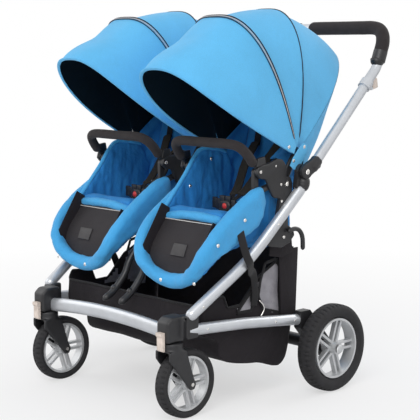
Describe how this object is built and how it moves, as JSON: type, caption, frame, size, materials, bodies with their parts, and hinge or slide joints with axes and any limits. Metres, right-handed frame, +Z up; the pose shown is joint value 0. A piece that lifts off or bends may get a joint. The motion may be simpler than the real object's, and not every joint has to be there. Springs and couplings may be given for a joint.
{
  "type": "twin stroller",
  "caption": "Side-by-side twin stroller with padded seats, folding hoods, swivelling front wheels, a folding push handle and an under-seat basket.",
  "frame": {"origin": "on the ground, under the middle of the overall length and width", "axes": "+X to the right-hand seat as seen from the front, -Y to the front (foot end), +Y to the push handle, +Z up"},
  "size_m": [0.776, 0.8031, 1.055],
  "materials": {
    "frame_silver": "satin anodised tube",
    "black_plastic": "fine matt moulding",
    "black_metal": "satin black paint",
    "steel": "plain",
    "rim_silver": "satin silver paint",
    "tyre_rubber": "matt",
    "foam_grip": "closed-cell foam",
    "trim_white": "satin",
    "fabric_blue": "coated woven cloth",
    "fabric_black": "woven cloth"
  },
  "bodies": {
    "chassis": {"caster_housings": "black_plastic", "lower_rails": "frame_silver", "main_tubes": "frame_silver", "front_cross_tube": "frame_silver", "rear_brackets": "black_plastic", "uprights": "black_metal", "frame_brackets": "black_plastic", "lower_knuckles": "black_plastic", "rear_axle": "black_metal", "seat_arms": "black_plastic", "centre_frame": "black_metal", "seat_hubs": "black_plastic", "basket": "fabric_black", "seat_frame_right": "black_metal", "seat_frame_left": "black_metal", "footrest_roll_right": "fabric_blue", "footrest_roll_left": "fabric_blue", "seat_tub_right": "fabric_blue", "seat_tub_left": "fabric_blue", "calf_flap_right": "fabric_black", "calf_flap_left": "fabric_black", "buckle_right": "black_plastic", "buckle_left": "black_plastic", "hood_rear_right": "fabric_blue", "hood_rear_left": "fabric_blue"},
    "push_handle": {"handle_tube": "frame_silver", "handle_grip": "foam_grip", "handle_collars": "black_plastic", "upper_knuckles": "black_plastic"},
    "brake": {"brake_pedal": "black_plastic"},
    "caster_right": {"caster_fork_right": "black_plastic", "front_pin_right": "steel"},
    "front_wheel_right": {"front_rim_right": "rim_silver", "front_tyre_right": "tyre_rubber"},
    "rear_wheel_right": {"rear_rim_right": "rim_silver", "rear_tyre_right": "tyre_rubber"},
    "release_ring_right": {"release_ring_right": "trim_white"},
    "swivel_lock_right": {"swivel_lock_right": "trim_white"},
    "transport_hook_right": {"transport_hook_right": "black_plastic"},
    "backrest_right": {"backrest_right": "fabric_black", "harness_right": "fabric_black"},
    "bumper_right": {"bumper_bar_right": "black_metal", "bumper_foam_right": "foam_grip"},
    "hood_mid_right": {"hood_mid_right": "fabric_blue"},
    "hood_front_right": {"hood_front_right": "fabric_blue"},
    "caster_left": {"caster_fork_left": "black_plastic", "front_pin_left": "steel"},
    "front_wheel_left": {"front_rim_left": "rim_silver", "front_tyre_left": "tyre_rubber"},
    "rear_wheel_left": {"rear_rim_left": "rim_silver", "rear_tyre_left": "tyre_rubber"},
    "release_ring_left": {"release_ring_left": "trim_white"},
    "swivel_lock_left": {"swivel_lock_left": "trim_white"},
    "transport_hook_left": {"transport_hook_left": "black_plastic"},
    "backrest_left": {"backrest_left": "fabric_black", "harness_left": "fabric_black"},
    "bumper_left": {"bumper_bar_left": "black_metal", "bumper_foam_left": "foam_grip"},
    "hood_mid_left": {"hood_mid_left": "fabric_blue"},
    "hood_front_left": {"hood_front_left": "fabric_blue"}
  },
  "joints": [
    {"name": "handle_fold", "type": "hinge", "parent": "chassis", "child": "push_handle", "pos_m": [0, 0.042, 0.621], "axis": [1, 0, 0], "range_deg": [0, 150]},
    {"name": "brake_press", "type": "hinge", "parent": "chassis", "child": "brake", "pos_m": [0, 0.1575, 0.122], "axis": [-1, 0, 0], "range_deg": [0, 25]},
    {"name": "caster_swivel_right", "type": "hinge", "parent": "chassis", "child": "caster_right", "pos_m": [0.264, -0.357, 0.207], "axis": [0, 0, 1], "continuous": true},
    {"name": "front_wheel_spin_right", "type": "hinge", "parent": "caster_right", "child": "front_wheel_right", "pos_m": [0.264, -0.3105, 0.091], "axis": [1, 0, 0], "continuous": true},
    {"name": "rear_wheel_spin_right", "type": "hinge", "parent": "chassis", "child": "rear_wheel_right", "pos_m": [0.358, 0.1575, 0.122], "axis": [1, 0, 0], "continuous": true},
    {"name": "release_slide_right", "type": "slide", "parent": "push_handle", "child": "release_ring_right", "axis": [0, 0.7133, 0.7009], "range_m": [0, 0.012], "stiffness_N_per_m": 250},
    {"name": "swivel_lock_slide_right", "type": "slide", "parent": "chassis", "child": "swivel_lock_right", "axis": [0, 0, 1], "range_m": [0, 0.008]},
    {"name": "transport_hook_turn_right", "type": "hinge", "parent": "chassis", "child": "transport_hook_right", "pos_m": [0.3398, 0.042, 0.444], "axis": [1, 0, 0], "range_deg": [0, 50]},
    {"name": "backrest_recline_right", "type": "hinge", "parent": "chassis", "child": "backrest_right", "pos_m": [0.185, 0.03, 0.486], "axis": [-1, 0, 0], "range_deg": [0, 30]},
    {"name": "bumper_swing_right", "type": "hinge", "parent": "chassis", "child": "bumper_right", "pos_m": [0.185, -0.105, 0.628], "axis": [1, 0, 0], "range_deg": [0, 70]},
    {"name": "hood_fold_right", "type": "hinge", "parent": "chassis", "child": "hood_mid_right", "pos_m": [0.185, 0.0365, 0.66], "axis": [-1, 0, 0], "range_deg": [0, 26]},
    {"name": "hood_front_fold_right", "type": "hinge", "parent": "hood_mid_right", "child": "hood_front_right", "pos_m": [0.185, 0.0365, 0.66], "axis": [-1, 0, 0], "range_deg": [0, 34]},
    {"name": "caster_swivel_left", "type": "hinge", "parent": "chassis", "child": "caster_left", "pos_m": [-0.264, -0.357, 0.207], "axis": [0, 0, 1], "continuous": true},
    {"name": "front_wheel_spin_left", "type": "hinge", "parent": "caster_left", "child": "front_wheel_left", "pos_m": [-0.264, -0.3105, 0.091], "axis": [1, 0, 0], "continuous": true},
    {"name": "rear_wheel_spin_left", "type": "hinge", "parent": "chassis", "child": "rear_wheel_left", "pos_m": [-0.358, 0.1575, 0.122], "axis": [1, 0, 0], "continuous": true},
    {"name": "release_slide_left", "type": "slide", "parent": "push_handle", "child": "release_ring_left", "axis": [0, 0.7133, 0.7009], "range_m": [0, 0.012], "stiffness_N_per_m": 250},
    {"name": "swivel_lock_slide_left", "type": "slide", "parent": "chassis", "child": "swivel_lock_left", "axis": [0, 0, 1], "range_m": [0, 0.008]},
    {"name": "transport_hook_turn_left", "type": "hinge", "parent": "chassis", "child": "transport_hook_left", "pos_m": [-0.3398, 0.042, 0.444], "axis": [1, 0, 0], "range_deg": [0, 50]},
    {"name": "backrest_recline_left", "type": "hinge", "parent": "chassis", "child": "backrest_left", "pos_m": [-0.185, 0.03, 0.486], "axis": [-1, 0, 0], "range_deg": [0, 30]},
    {"name": "bumper_swing_left", "type": "hinge", "parent": "chassis", "child": "bumper_left", "pos_m": [-0.185, -0.105, 0.628], "axis": [1, 0, 0], "range_deg": [0, 70]},
    {"name": "hood_fold_left", "type": "hinge", "parent": "chassis", "child": "hood_mid_left", "pos_m": [-0.185, 0.0365, 0.66], "axis": [-1, 0, 0], "range_deg": [0, 26]},
    {"name": "hood_front_fold_left", "type": "hinge", "parent": "hood_mid_left", "child": "hood_front_left", "pos_m": [-0.185, 0.0365, 0.66], "axis": [-1, 0, 0], "range_deg": [0, 34]}
  ],
  "couplings": [
    {"joint": "hood_front_fold_right", "follows": "hood_fold_right", "ratio": 1.3},
    {"joint": "hood_front_fold_left", "follows": "hood_fold_left", "ratio": 1.3}
  ]
}
